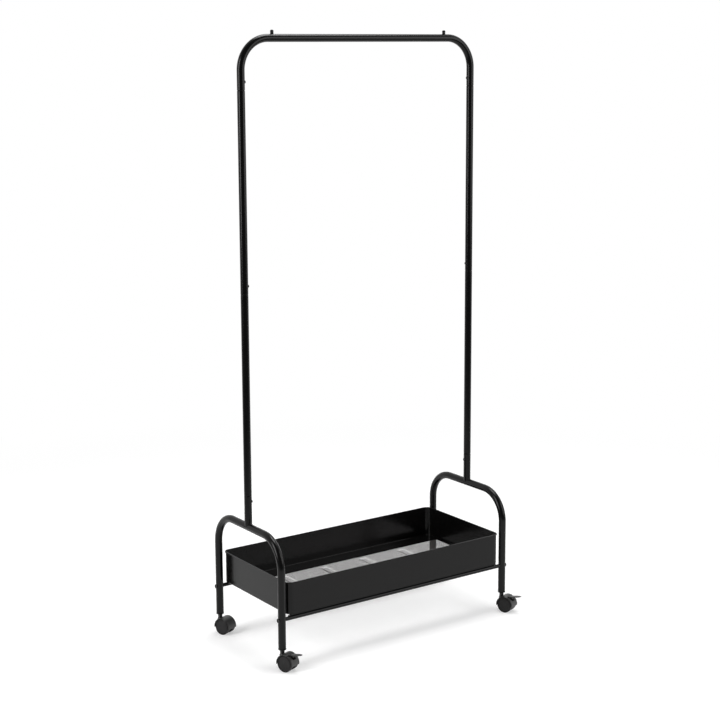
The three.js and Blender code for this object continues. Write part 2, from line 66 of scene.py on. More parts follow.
tube_radius = size_of("lower_post_left").x / 2
post_y = centre_of("lower_post_left").y
post_x = {hand: centre_of(f"lower_post_{hand}").x for hand in hands}
bar_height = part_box("top_bar")[1].z - tube_radius
bar_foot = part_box("top_bar")[0].z
upper_post_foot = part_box("upper_post_left")[0].z
leg_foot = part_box("end_frame_left")[0].z
socket_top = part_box("end_frame_left")[1].z
leg_y = {
    "front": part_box("end_frame_left")[0].y + tube_radius,
    "back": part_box("end_frame_left")[1].y - tube_radius,
}
frame_length = post_x["right"] - post_x["left"]
frame_depth = leg_y["back"] - leg_y["front"]
rail_radius = size_of("front_rail").z / 2
rail_height = centre_of("front_rail").z

# ---------------- tubes
tube_wall = 1.2 * mm
tube_bend = 75 * mm  # of the centreline
tube_lip = 1 * mm  # rounding of a tube's end outside
tube_deburr = 0.15 * mm  # and inside
shoulder_bend = 1.4 * mm  # rounding of a tube's shoulder above its reduced end
socket_length = 80 * mm  # from the crown's centreline
spigot_length = 40 * mm
crown_height = socket_top - socket_length
weld_bead = 1.7 * mm
weld_ripples = 34
rail_bore = 3.3 * mm  # radius
rail_lip = 0.3 * mm  # rounding of a rail's end
tube_segments = 48
bend_segments = 28

# ---------------- screws, bolts and hanger stops
screw_shank = 2.5 * mm  # radius
screw_head_height = 2.6 * mm
screw_recess = 2.3 * mm  # half the width of the cross
screw_recess_depth = 1.1 * mm
bolt_shank = 3 * mm  # radius
bolt_head_height = 3.4 * mm
bolt_recess = 2.3 * mm  # from the hexagon's middle to its corners
bolt_recess_depth = 1.8 * mm
stop_head_height = 4 * mm
stop_neck_step = 0.3 * mm  # of a stud's neck inside its head
stop_foot_rise = 1 * mm  # of the neck's foot over the bar

# ---------------- basket
sheet = 0.8 * mm
rim_overhang = 2 * mm  # of the hemmed top edge past the walls
rim_height = 3 * mm
rim_rounding = 0.7 * mm
basket_corner = 16 * mm
floor_bend = 2.4 * mm  # outside radius between a wall and the floor border
long_flange = 50 * mm
end_flange = 10.5 * mm
rest_height = 4.2 * mm  # of the strips on which the basket stands on its rails
rest_inset = 6 * mm  # of a strip's ends from the end walls
lip_drop = 6 * mm  # of a strip's lip down the inner side of its rail
fold_radius = 1 * mm  # outside radius of a strip's folds
floor_corner = 6 * mm
mesh_cell_length = 8 * mm
mesh_cell_depth = 4.5 * mm
mesh_strand = 0.69 * mm
mesh_thickness = 0.35 * mm
mesh_tilt = 0.22 * mm  # how far a strand's upper edge stands over its lower edge
mesh_border = 5 * mm
mesh_drop = 0.8 * mm  # of the mesh's middle plane below the floor border's underside
groove_width = 22 * mm  # of the grooves pressed down across the mesh
groove_depth = 1.6 * mm
groove_slope = 2.8 * mm  # width of each of a groove's sloping sides
groove_inset = 10 * mm  # from a groove's ends to the floor border
groove_spacing = 125 * mm
groove_count = 4

# ---------------- casters
wheel_radius = size_of("front_left_caster_left_wheel").z / 2
wheel_inner_face = 5.3 * mm
wheel_outer_face = 16 * mm
wheel_rim = 2.2 * mm  # flat ring round the wheel's face
wheel_face_depth = 0.8 * mm
wheel_groove = 0.45 * mm
wheel_hub = 6 * mm
wheel_face_wall = 2.4 * mm
wheel_tread_wall = 3 * mm
wheel_dome = 0.25 * mm  # of the face's middle
axle_radius = 3 * mm
hood_inner = 22 * mm
hood_outer = 23.8 * mm
hood_edge = 1.3 * mm  # rounding of the hood's long edges
hood_lip = 0.5 * mm  # and of its two lips
hood_skirt = radians(8)  # how far the hood runs below axle height
fork_skirt = radians(6.5)  # and the middle body, which ends inside the hood
fork_half = 5 * mm
fork_hub = 8 * mm
boss_radius = 5.6 * mm
boss_flare = 1.4 * mm  # where the boss leaves the hood
boss_flare_drop = 4 * mm  # of the flare's top below the hood's
stem_radius = 4 * mm
stem_pivot = 3 * mm
pivot_depth = 16 * mm  # of the stem's lower end in the boss
stem_collar = 5.6 * mm
stem_collar_height = 2 * mm
plug_flange = 2 * mm
plug_overhang = 0.5 * mm
plug_chamfer = 1.1 * mm
plug_depth = 35 * mm
plug_foot = leg_foot - seat_gap - plug_flange
collar_foot = plug_foot - seat_gap - stem_collar_height
boss_top = collar_foot - seat_gap
brake_back = 10 * mm  # pivot behind the axle
brake_up = 21.5 * mm  # pivot above the axle
lever_width = 13 * mm
lever_reach = 32 * mm
lever_tip_rise = 6 * mm
lever_thickness = 3 * mm
lever_tip_thickness = 2.2 * mm
lever_taper_start = 0.45  # share of the reach at which the plate starts to narrow
lever_taper = 0.88  # 1 would bring the tip to a point
ridge_radius = 0.55 * mm
ridge_start = 0.68  # share of the reach at which the first ridge lies
ridge_spacing = 0.09
ridge_count = 3
shoe_back = 9.5 * mm  # behind the lever's pivot
shoe_front = 5 * mm
shoe_drop = 2.6 * mm  # below the pivot
shoe_top = 0.5 * mm
shoe_inset = 1 * mm  # from the lever's sides
window_clearance = 1.2 * mm  # of the hood's window round the lever
ear_radius = 2.9 * mm
ear_thickness = 2.5 * mm
pin_radius = 1.3 * mm


# ---------------- outlines

def rounded(corners, loop=False, steps=5):
    """A 2-D outline through (u, v) or (u, v, radius) corners, with an arc at each that has a radius."""
    points = []
    for index, corner in enumerate(corners):
        here = Vector(corner[:2])
        inside = loop or 0 < index < len(corners) - 1
        if len(corner) == 2 or corner[2] == 0 or not inside:
            points.append(here)
            continue
        back = (Vector(corners[index - 1][:2]) - here).normalized()
        ahead = (Vector(corners[(index + 1) % len(corners)][:2]) - here).normalized()
        opening = acos(max(-1, min(1, back.dot(ahead))))
        reach = corner[2] / tan(opening / 2)
        middle = here + (back + ahead).normalized() * corner[2] / sin(opening / 2)
        first = here + back * reach - middle
        turn = first.angle_signed(here + ahead * reach - middle)
        for step in range(steps + 1):
            share = -turn * step / steps
            points.append(middle + Matrix.Rotation(share, 2) @ first)
    return points


def rounded_rectangle(length, depth, radius, steps=8):
    """Points anticlockwise round a rectangle with round corners, about the origin."""
    points = []
    for quarter in range(4):
        side_x = 1 if quarter in (0, 3) else -1
        side_y = 1 if quarter in (0, 1) else -1
        for step in range(steps + 1):
            angle = (quarter + step / steps) * pi / 2
            x = side_x * (length / 2 - radius) + radius * cos(angle)
            y = side_y * (depth / 2 - radius) + radius * sin(angle)
            points.append(Vector((x, y)))
    return points


def dome(radius, height, edge, steps=7):
    """Outline (radius, height) of a domed head, from the top of its upright edge to its crown."""
    return [
        Vector((radius * cos(share * pi / 2), edge + (height - edge) * sin(share * pi / 2)))
        for share in (step / steps for step in range(steps + 1))
    ]


# ---------------- solids

def add_ring(solid, points):
    return [solid.verts.new(point) for point in points]


def skin(solid, rings, loop=False, capped=False):
    """Faces from ring to ring. A ring of one vertex is a pole."""
    pairs = list(zip(rings, rings[1:]))
    if loop:
        pairs.append((rings[-1], rings[0]))
    for lower, upper in pairs:
        count = max(len(lower), len(upper))
        for index in range(count):
            following = (index + 1) % count
            corners = [
                lower[index % len(lower)],
                lower[following % len(lower)],
                upper[following % len(upper)],
                upper[index % len(upper)],
            ]
            solid.faces.new(list(dict.fromkeys(corners)))
    if capped:
        solid.faces.new(rings[0])
        solid.faces.new(rings[-1])
    return solid


def circle(radius, segments):
    """(u, v) points round a circle about the origin."""
    angles = [tau * step / segments for step in range(segments)]
    return [(radius * cos(angle), radius * sin(angle)) for angle in angles]


def turned(outline, segments=32, loop=False):
    """A solid turned about Z from (radius, height) points. A point on the axis becomes a pole."""
    solid = bmesh.new()
    rings = []
    for radius, height in outline:
        count = segments if radius > 1e-7 else 1
        rings.append(add_ring(solid, [(x, y, height) for x, y in circle(radius, count)]))
    return skin(solid, rings, loop)


def spindle(radius, low, high, chamfer=0.0, segments=36):
    """A round bar on Z, its ends chamfered if asked."""
    outline = [(0, low), (radius, low + chamfer), (radius, high - chamfer), (0, high)]
    if chamfer:
        outline.insert(1, (radius - chamfer, low))
        outline.insert(-1, (radius - chamfer, high))
    return turned(outline, segments)


def extruded(outline, low, high):
    """A prism across X from an outline of (y, z) points."""
    solid = bmesh.new()
    rings = [add_ring(solid, [(x, y, z) for y, z in outline]) for x in (low, high)]
    return skin(solid, rings, capped=True)


def block(low, high):
    """A box between two opposite corners."""
    outline = [(low[1], low[2]), (high[1], low[2]), (high[1], high[2]), (low[1], high[2])]
    return extruded(outline, low[0], high[0])


def place_at(x, y, z=0.0):
    return Matrix.Translation((x, y, z))


def moved(solid, matrix):
    bmesh.ops.transform(solid, matrix=matrix, verts=solid.verts)
    return solid


def along_x(solid, x=0.0, y=0.0, z=0.0, side=1):
    """Something turned about Z, laid along X: its top faces +X, or -X with side -1."""
    return moved(solid, place_at(x, y, z) @ Matrix.Rotation(side * pi / 2, 4, "Y"))


def mesh_object(name, solid):
    bmesh.ops.recalc_face_normals(solid, faces=solid.faces)
    mesh = bpy.data.meshes.new(name)
    solid.to_mesh(mesh)
    solid.free()
    made = bpy.data.objects.new(name, mesh)
    scene.collection.objects.link(made)
    return made


def combined(operation, first, *others):
    """The union or difference of closed solids, as one solid."""
    result = first
    for other in others:
        holders = [mesh_object("held", result), mesh_object("held", other)]
        modifier = holders[0].modifiers.new("combine", "BOOLEAN")
        modifier.operation = operation
        modifier.solver = "EXACT"
        modifier.object = holders[1]
        bpy.context.view_layer.update()
        shaped = holders[0].evaluated_get(bpy.context.evaluated_depsgraph_get())
        result = bmesh.new()
        result.from_mesh(shaped.to_mesh())
        for holder in holders:
            bpy.data.meshes.remove(holder.data)
    return result


def add_piece(name, solid, finish, body, nodes, crease=32):
    """One named piece in one of the finishes, which rides on a body and stands for CAD nodes.
    Faces that meet at more than the crease, in degrees, keep a sharp edge between them."""
    bmesh.ops.recalc_face_normals(solid, faces=solid.faces)
    for face in solid.faces:
        face.smooth = True
    for edge in solid.edges:
        edge.smooth = len(edge.link_faces) == 2 and edge.calc_face_angle() < radians(crease)
    made = mesh_object(name, solid)
    made.data.materials.append(finishes[finish])
    weighting = made.modifiers.new("weighted normals", "WEIGHTED_NORMAL")
    weighting.keep_sharp = True
    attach(made, body)
    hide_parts(*nodes)
    return made


# ---------------- finishes

noise_low, noise_high = 0.3, 0.7  # noise seldom goes past these


def add_node(tree, kind, inputs, **settings):
    """A shader node. An input is a value, or a socket to link."""
    made = tree.nodes.new(kind)
    for name, value in settings.items():
        setattr(made, name, value)
    for name, value in inputs.items():
        if isinstance(value, bpy.types.NodeSocket):
            tree.links.new(value, made.inputs[name])
        else:
            made.inputs[name].default_value = value
    return made


def noise(tree, size, detail=2.0, stretch=(1, 1, 1)):
    """Noise of about that size, held to the piece. Stretch thins it along an axis."""
    place = add_node(tree, "ShaderNodeTexCoord", {})
    scaled = add_node(tree, "ShaderNodeMapping", {"Vector": place.outputs["Object"], "Scale": stretch})
    made = add_node(tree, "ShaderNodeTexNoise", {
        "Vector": scaled.outputs["Vector"],
        "Scale": 1 / size,
        "Detail": detail,
        "Roughness": 0.55,
    })
    return made.outputs["Fac"]


def ranged(tree, source, low, high):
    """Noise stretched to go from low to high."""
    made = add_node(tree, "ShaderNodeMapRange", {
        "Value": source,
        "From Min": noise_low,
        "From Max": noise_high,
        "To Min": low,
        "To Max": high,
    })
    return made.outputs["Result"]


def blended(tree, source, dark, light):
    """Noise turned into tones from dark to light."""
    made = add_node(tree, "ShaderNodeValToRGB", {"Fac": source})
    ends = ((noise_low, dark), (noise_high, light))
    for element, (place, tone) in zip(made.color_ramp.elements, ends):
        element.position = place
        element.color = (*tone, 1)
    return made.outputs["Color"]


def bumped(tree, height, depth, below=None):
    inputs = {"Height": height, "Distance": depth, "Strength": 1.0}
    if below is not None:
        inputs["Normal"] = below
    return add_node(tree, "ShaderNodeBump", inputs).outputs["Normal"]


def new_finish(name):
    """The empty node tree of a new material, kept in finishes under its name."""
    made = bpy.data.materials.new(name)
    made.use_nodes = True
    made.node_tree.nodes.clear()
    finishes[name] = made
    return made.node_tree


def add_surface(tree, tone, gloss, inputs):
    """Ends a material in one principled shader. Tone and gloss are (noise, low end, high end)."""
    shader = add_node(tree, "ShaderNodeBsdfPrincipled", {
        "Base Color": blended(tree, *tone),
        "Roughness": ranged(tree, *gloss),
        **inputs,
    })
    add_node(tree, "ShaderNodeOutputMaterial", {"Surface": shader.outputs["BSDF"]})


def powder_coat(name, dark, light, gloss, specular, waviness=0.0):
    """Satin powder coat: a soft orange peel with a fine grit on it, over a sheet that may wave."""
    tree = new_finish(name)
    normal = bumped(tree, noise(tree, 130 * mm, 1), waviness) if waviness else None
    normal = bumped(tree, noise(tree, 1.6 * mm, 2), 0.005 * mm, normal)
    normal = bumped(tree, noise(tree, 0.35 * mm, 1), 0.0025 * mm, normal)
    tone = (noise(tree, 45 * mm, 4), dark, light)
    gloss = (noise(tree, 9 * mm, 3), *gloss)
    add_surface(tree, tone, gloss, {"Normal": normal, "Specular IOR Level": specular})


def moulded_plastic(name, dark, light, gloss, specular, grain):
    """Moulded nylon: a spark-eroded grain, with faint flow streaks and dusty patches."""
    tree = new_finish(name)
    streaks = bumped(tree, noise(tree, 6 * mm, 2, (1, 1, 4)), 0.02 * mm)
    normal = bumped(tree, noise(tree, grain, 1), grain * 0.05, streaks)
    tone = (noise(tree, 11 * mm, 5), dark, light)
    gloss = (noise(tree, 3 * mm, 3), *gloss)
    add_surface(tree, tone, gloss, {"Normal": normal, "Specular IOR Level": specular})


def blackened_steel(name, dark, light, gloss, metallic):
    """Black-finished steel with fine machining marks round the part."""
    tree = new_finish(name)
    marks = bumped(tree, noise(tree, 1.2 * mm, 2, (0.4, 0.4, 8)), 0.01 * mm)
    tone = (noise(tree, 4 * mm, 4), dark, light)
    gloss = (noise(tree, 1.5 * mm, 3), *gloss)
    add_surface(tree, tone, gloss, {"Normal": marks, "Metallic": metallic})


# tones are linear (red, green, blue) and gloss is a range of roughness
powder_coat("frame_coat", (0.0018, 0.0018, 0.0019), (0.003, 0.0029, 0.0028), (0.17, 0.22), 0.19)
powder_coat(
    "basket_coat", (0.0022, 0.0021, 0.0021), (0.0032, 0.0031, 0.003), (0.17, 0.22), 0.2, 0.1 * mm,
)
powder_coat("mesh_coat", (0.012, 0.0095, 0.007), (0.02, 0.016, 0.012), (0.36, 0.5), 0.3)
blackened_steel("screw_black", (0.012, 0.012, 0.013), (0.03, 0.029, 0.028), (0.26, 0.4), 0.3)
moulded_plastic(
    "plug_plastic", (0.005, 0.005, 0.005), (0.009, 0.009, 0.009), (0.42, 0.55), 0.25, 0.5 * mm,
)
moulded_plastic(
    "caster_plastic", (0.009, 0.0088, 0.0088), (0.016, 0.0155, 0.015), (0.3, 0.4), 0.5, 0.45 * mm,
)
moulded_plastic(
    "wheel_plastic", (0.0095, 0.0092, 0.0095), (0.0155, 0.015, 0.015), (0.42, 0.55), 0.22, 0.5 * mm,
)
blackened_steel("stem_steel", (0.035, 0.034, 0.034), (0.07, 0.068, 0.066), (0.28, 0.42), 0.85)


# ---------------- bent and straight tubes

def lip(outside, inside, rounding=tube_lip):
    """(radius, distance from the end) across a cut tube end, from its bore to its outside."""
    outline = [
        (inside, rounding * 2),
        (inside, 0, tube_deburr),
        (outside, 0, rounding),
        (outside, rounding * 2),
    ]
    return rounded(outline, steps=4)


def arch_stations(span, foot, crown):
    """(place, direction) along an arch in the XZ plane: up one leg, over and down the other."""
    bend_x = span / 2 - tube_bend
    stations = [(Vector((-span / 2, 0, foot)), Vector((0, 0, 1)))]
    for half in (0, 1):
        for step in range(bend_segments + 1):
            angle = (half + step / bend_segments) * pi / 2
            x = (bend_x if half else -bend_x) - tube_bend * cos(angle)
            z = crown - tube_bend + tube_bend * sin(angle)
            stations.append((Vector((x, 0, z)), Vector((sin(angle), 0, cos(angle)))))
    stations.append((Vector((span / 2, 0, foot)), Vector((0, 0, -1))))
    return stations


def arch_tube(span, foot, crown):
    """A bent tube, open at both feet."""
    solid = bmesh.new()

    def ring(place, direction, radius):
        across = Vector((0, 1, 0))
        upright = direction.cross(across)
        return add_ring(solid, [
            place + u * across + v * upright for u, v in circle(radius, tube_segments)
        ])

    stations = arch_stations(span, foot, crown)
    start, end = stations[0], stations[-1]
    ends = lip(tube_radius, tube_radius - tube_wall)
    rings = [ring(start[0] + start[1] * back, start[1], radius) for radius, back in ends]
    rings += [ring(place, direction, tube_radius) for place, direction in stations[1:-1]]
    rings += [ring(end[0] - end[1] * back, end[1], radius) for radius, back in reversed(ends)]
    rings += [
        ring(place, direction, tube_radius - tube_wall)
        for place, direction in reversed(stations[1:-1])
    ]
    return skin(solid, rings, loop=True)


def post_tube(foot, top, has_lower_spigot):
    """A straight post with a reduced end that enters the tube above, and below too if asked."""
    bore = tube_radius - tube_wall
    spigot = bore - seat_gap
    foot_rounding = shoulder_bend if has_lower_spigot else tube_lip
    outline = [(tube_radius, foot, foot_rounding), (tube_radius, top, shoulder_bend)]
    outline += [
        (spigot, top, 0),
        (spigot, top + spigot_length, tube_deburr),
        (spigot - tube_wall, top + spigot_length, tube_deburr),
        (spigot - tube_wall, top - tube_wall, 0),
        (bore, top - tube_wall, 0),
    ]
    if has_lower_spigot:
        outline += [
            (bore, foot + tube_wall, 0),
            (spigot - tube_wall, foot + tube_wall, 0),
            (spigot - tube_wall, foot - spigot_length, tube_deburr),
            (spigot, foot - spigot_length, tube_deburr),
            (spigot, foot, 0),
        ]
    else:
        outline += [(bore, foot, tube_deburr)]
    return turned(rounded(outline, loop=True, steps=3), tube_segments, loop=True)


def socket_tube():
    """The short tube on a crown, its foot following the crown's round top."""
    solid = bmesh.new()

    def saddle_ring(radius, sink):
        points = []
        for x, y in circle(radius, tube_segments):
            over = sqrt(max(0.0, (tube_radius - sink) ** 2 - x * x))
            points.append((x, y, crown_height + over))
        return add_ring(solid, points)

    bore = tube_radius - tube_wall
    rings = [saddle_ring(bore, tube_wall / 2), saddle_ring(tube_radius, tube_wall / 2)]
    for radius, back in reversed(lip(tube_radius, bore)):
        level = socket_top - back
        rings.append(add_ring(solid, [(x, y, level) for x, y in circle(radius, tube_segments)]))
    return skin(solid, rings, loop=True)


def saddle_weld():
    """Weld bead along the seam between a socket and the crown, thinnest where the tubes are tangent."""
    solid = bmesh.new()
    steps = 6 * weld_ripples
    rings = []
    for step in range(steps):
        angle = tau * step / steps
        rise = abs(sin(angle))
        outward = Vector((cos(angle), sin(angle), 0))
        seat = outward * tube_radius + Vector((0, 0, crown_height + tube_radius * rise))
        ripple = 1 + 0.06 * sin(weld_ripples * angle)
        swell = 0.8 * weld_bead * (0.25 + 0.75 * rise) * ripple
        rings.append(add_ring(solid, [
            seat + u * outward + Vector((0, 0, v)) for u, v in circle(swell, 10)
        ]))
    return skin(solid, rings, loop=True)


def rail_tube(row):
    """A rail whose ends are coped to the round legs."""
    solid = bmesh.new()

    def coped_ring(hand, radius, back):
        points = []
        for y, z in circle(radius, tube_segments):
            reach = sqrt((tube_radius + seat_gap) ** 2 - y * y) + back
            x = post_x[hand] - hands[hand] * reach
            points.append((x, leg_y[row] + y, rail_height + z))
        return add_ring(solid, points)

    ends = lip(rail_radius, rail_bore, rail_lip)
    rings = [coped_ring("left", radius, back) for radius, back in ends]
    rings += [coped_ring("right", radius, back) for radius, back in reversed(ends)]
    return skin(solid, rings, loop=True)


def add_frame_tubes():
    middle_x = (post_x["left"] + post_x["right"]) / 2
    middle_y = (leg_y["front"] + leg_y["back"]) / 2
    bar = moved(arch_tube(frame_length, bar_foot, bar_height), place_at(middle_x, post_y))
    add_piece("hanging_bar", bar, "frame_coat", "frame", ["top_bar"])
    quarter_turn = Matrix.Rotation(pi / 2, 4, "Z")
    for hand, x in post_x.items():
        arch = arch_tube(frame_depth, leg_foot, crown_height)
        lower = post_tube(socket_top + seat_gap, upper_post_foot - seat_gap, True)
        upper = post_tube(upper_post_foot, bar_foot - seat_gap, False)
        at_post = place_at(x, post_y)
        for name, solid, node in (
            ("end_arch", moved(arch, place_at(x, middle_y) @ quarter_turn), "end_frame"),
            ("post_socket", moved(socket_tube(), at_post), "end_frame"),
            ("socket_weld", moved(saddle_weld(), at_post), "end_frame"),
            ("lower_tube", moved(lower, at_post), "lower_post"),
            ("upper_tube", moved(upper, at_post), "upper_post"),
        ):
            add_piece(f"{name}_{hand}", solid, "frame_coat", "frame", [f"{node}_{hand}"])
    for row in rows:
        add_piece(f"{row}_rail_tube", rail_tube(row), "frame_coat", "frame", [f"{row}_rail"])


# ---------------- screws, bolts and hanger stops

def cross_recess(radius, depth, top):
    """Tapering cross that a driver fits, to cut from a head whose crown is at top."""
    parts = []
    for turn in (0, pi / 2):
        outline = [
            (-radius, top + depth),
            (-radius * 0.55, top - depth),
            (radius * 0.55, top - depth),
            (radius, top + depth),
        ]
        arm = extruded(outline, -radius * 0.22, radius * 0.22)
        parts.append(moved(arm, Matrix.Rotation(turn, 4, "Z")))
    return combined("UNION", *parts)


def hex_recess(radius, depth, top):
    return spindle(radius, top - depth, top + depth, segments=6)


def headed_fastener(shank, grip, head, height, recess):
    """A round-headed fastener on Z, its head standing on z = 0, with its shank's tip chamfered."""
    tip = shank * 0.3
    outline = [Vector((0, -grip)), Vector((shank - tip, -grip)), Vector((shank, -grip + tip))]
    outline += [Vector((shank, 0)), Vector((head * 0.96, 0))]
    outline += dome(head, height, height * 0.28)
    return combined("DIFFERENCE", turned(outline, 40), recess)


def hanger_stop(hand):
    """Round-headed stud that stands on the bar, its foot following the bar's round top."""
    low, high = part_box(f"hanger_stop_{hand}")
    middle = centre_of(f"hanger_stop_{hand}")
    widest = (high.x - low.x) / 2
    neck = widest - stop_neck_step
    head_foot = high.z - stop_head_height
    bar_top = bar_height + tube_radius
    outline = [
        (0, high.z),
        (widest * 0.6, high.z, widest * 0.6),
        (widest, high.z - widest * 0.6, widest * 0.6),
        (widest, head_foot, 0.3 * mm),
        (neck, head_foot - 0.4 * mm, 0.3 * mm),
        (neck, bar_top + stop_foot_rise, 0.6 * mm),
        (widest, bar_top + 0.3 * mm, 0.3 * mm),
        (widest, bar_height),
        (0, bar_height),
    ]
    stud = turned(rounded(outline), 40)
    saddle_length = 2 * widest
    saddle_radius = tube_radius + seat_gap / 3
    saddle = spindle(saddle_radius, -saddle_length, saddle_length, segments=tube_segments)
    placed = moved(stud, place_at(middle.x, middle.y))
    return combined("DIFFERENCE", placed, along_x(saddle, middle.x, middle.y, bar_height))


def add_headed(name, node, side, shank, head_height, recess):
    """A fastener along X in the place of a CAD node, its head towards +X, or -X with side -1."""
    low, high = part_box(node)
    middle = centre_of(node)
    head = size_of(node).z / 2
    seat = high.x - head_height if side > 0 else low.x + head_height
    solid = headed_fastener(shank, high.x - low.x - head_height, head, head_height, recess)
    placed = along_x(solid, seat, middle.y, middle.z, side)
    add_piece(name, placed, "screw_black", "frame", [node])


def add_fasteners():
    for hand, side in hands.items():
        stop = hanger_stop(hand)
        add_piece(f"hanger_stud_{hand}", stop, "frame_coat", "frame", [f"hanger_stop_{hand}"])
        for joint in ("top_joint_screw", "middle_joint_screw", "socket_screw"):
            recess = cross_recess(screw_recess, screw_recess_depth, screw_head_height)
            name = f"{joint}_head_{hand}"
            add_headed(name, f"{joint}_{hand}", -side, screw_shank, screw_head_height, recess)
        for row in rows:
            recess = hex_recess(bolt_recess, bolt_recess_depth, bolt_head_height)
            node = f"{row}_{hand}_rail_bolt"
            add_headed(f"{node}_head", node, side, bolt_shank, bolt_head_height, recess)


# ---------------- basket

basket_low, basket_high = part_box("basket_shell")
basket_middle = (basket_low + basket_high) / 2
basket_length = basket_high.x - basket_low.x - 2 * rim_overhang
basket_depth = basket_high.y - basket_low.y - 2 * rim_overhang
rest_foot = basket_low.z + lip_drop
basket_foot = rest_foot + rest_height
opening_length = basket_length - 2 * end_flange
opening_depth = basket_depth - 2 * long_flange


def basket_wall_section():
    """(inset, height) over the wall: floor border, outer face, hemmed rim, inner face, floor border."""
    top = basket_high.z
    under_rim = top - rim_height
    border = end_flange * 0.75  # basket_sheet adds the rest, up to the opening
    corners = [
        (border, basket_foot),
        (0, basket_foot, floor_bend),
        (0, under_rim, 0.2 * mm),
        (-rim_overhang, under_rim, rim_rounding),
        (-rim_overhang, top, rim_rounding),
        (sheet, top, rim_rounding),
        (sheet, basket_foot + sheet, floor_bend - sheet),
        (border, basket_foot + sheet),
    ]
    return rounded(corners, steps=6)


def basket_sheet():
    """The walls with their hemmed rim and the border round the open floor, as one bent sheet."""
    solid = bmesh.new()

    def ring(length, depth, corner, z):
        outline = rounded_rectangle(length, depth, corner, 10)
        return add_ring(solid, [(basket_middle.x + x, basket_middle.y + y, z) for x, y in outline])

    rings = [
        ring(basket_length - 2 * inset, basket_depth - 2 * inset, basket_corner - inset, z)
        for inset, z in basket_wall_section()
    ]
    edge = sheet * 0.3
    for inset, z in (
        (0, basket_foot + sheet),
        (-edge, basket_foot + sheet - edge),
        (-edge, basket_foot + edge),
        (0, basket_foot),
    ):
        length = opening_length + 2 * (inset + edge)
        depth = opening_depth + 2 * (inset + edge)
        rings.append(ring(length, depth, floor_corner + inset + edge, z))
    return skin(solid, rings, loop=True)


def rest_strip(row):
    """Folded strip under a long side: a web that stands on the rail, with a lip down its inner side."""
    inward = 1 if row == "front" else -1
    web = leg_y[row] - inward * sheet / 2
    lip_face = leg_y[row] + inward * (rail_radius + seat_gap)
    outline = [
        (web, basket_foot),
        (web, rest_foot, fold_radius),
        (lip_face, rest_foot, fold_radius - sheet),
        (lip_face, basket_low.z, sheet * 0.3),
        (lip_face + inward * sheet, basket_low.z, sheet * 0.3),
        (lip_face + inward * sheet, rest_foot + sheet, fold_radius),
        (web + inward * sheet, rest_foot + sheet, fold_radius - sheet),
        (web + inward * sheet, basket_foot),
    ]
    half = basket_length / 2 - rest_inset
    section = rounded(outline, loop=True, steps=4)
    return extruded(section, basket_middle.x - half, basket_middle.x + half)


def groove_share(inside):
    """How deep a groove is, as a share, at some distance inside its edge."""
    share = max(0.0, min(1.0, inside / groove_slope))
    return share * share * (3 - 2 * share)


def groove_sink(x, y, half_depth):
    """How far the mesh is pressed down at a place, measured from its middle."""
    sink = 0.0
    for index in range(groove_count):
        middle = (index - (groove_count - 1) / 2) * groove_spacing
        inside = min(groove_width / 2 - abs(x - middle), half_depth - abs(y))
        sink = max(sink, groove_depth * groove_share(inside))
    return sink


def expanded_metal(length, depth, groove_half):
    """One layer of diamond mesh about the origin, each strand tilted as slit and stretched steel is,
    with grooves pressed down across it."""
    columns = 2 * round(length / mesh_cell_length)
    lines = 2 * round(depth / mesh_cell_depth)
    step_x = (length - mesh_strand) / columns
    step_y = (depth - mesh_strand) / lines
    slope = sqrt(step_x**2 + step_y**2)
    half_long = mesh_strand / 2 * slope / step_y
    half_short = mesh_strand / 2 * slope / step_x
    solid = bmesh.new()
    knots = {}
    for i in range(columns + 1):
        for j in range(i % 2, lines + 1, 2):
            x = (i - columns / 2) * step_x
            y = (j - lines / 2) * step_y
            level = -groove_sink(x, y, groove_half)
            knots[i, j] = {
                "right": solid.verts.new((x + half_long, y, level)),
                "top": solid.verts.new((x, y + half_short, level + mesh_tilt)),
                "left": solid.verts.new((x - half_long, y, level)),
                "bottom": solid.verts.new((x, y - half_short, level - mesh_tilt)),
            }
    for (i, j), knot in knots.items():
        solid.faces.new(knot.values())
        upper_right = knots.get((i + 1, j + 1))
        if upper_right:
            solid.faces.new((knot["right"], upper_right["bottom"], upper_right["left"], knot["top"]))
        upper_left = knots.get((i - 1, j + 1))
        if upper_left:
            solid.faces.new((knot["top"], upper_left["right"], upper_left["bottom"], knot["left"]))
    return solid


def flat_border(length, depth, width, corner, low, high):
    """A flat frame between two heights."""
    solid = bmesh.new()
    rings = [
        add_ring(solid, [
            (x, y, z)
            for x, y in rounded_rectangle(length - 2 * inset, depth - 2 * inset, corner, 4)
        ])
        for inset, z in ((0, low), (0, high), (width, high), (width, low))
    ]
    return skin(solid, rings, loop=True)


def add_basket():
    add_piece("basket_walls", basket_sheet(), "basket_coat", "frame", ["basket_shell"])
    for row in rows:
        add_piece(f"basket_rest_{row}", rest_strip(row), "basket_coat", "frame", ["basket_shell"])
    low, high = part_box("basket_mesh")
    length = high.x - low.x
    depth = high.y - low.y
    at_mesh = place_at((low.x + high.x) / 2, (low.y + high.y) / 2, basket_foot - mesh_drop)
    groove_half = opening_depth / 2 - groove_inset
    lattice = moved(expanded_metal(length - mesh_border, depth - mesh_border, groove_half), at_mesh)
    floor = add_piece("floor_mesh", lattice, "mesh_coat", "frame", ["basket_mesh"], crease=1)
    solidify = floor.modifiers.new("sheet thickness", "SOLIDIFY")
    solidify.thickness = mesh_thickness
    solidify.offset = 0
    floor.modifiers.move(1, 0)  # the thickness comes before the normals are weighted
    border = flat_border(length, depth, mesh_border, floor_corner, -mesh_thickness / 2, mesh_thickness / 2)
    add_piece("floor_mesh_border", moved(border, at_mesh), "mesh_coat", "frame", ["basket_mesh"])


# ---------------- casters
# Each piece is drawn about the swivel axis, standing on the floor, its wheels trailing towards -Y.

caster_trail = (centre_of("front_left_caster_axle").xy - Vector((post_x["left"], leg_y["front"]))).length


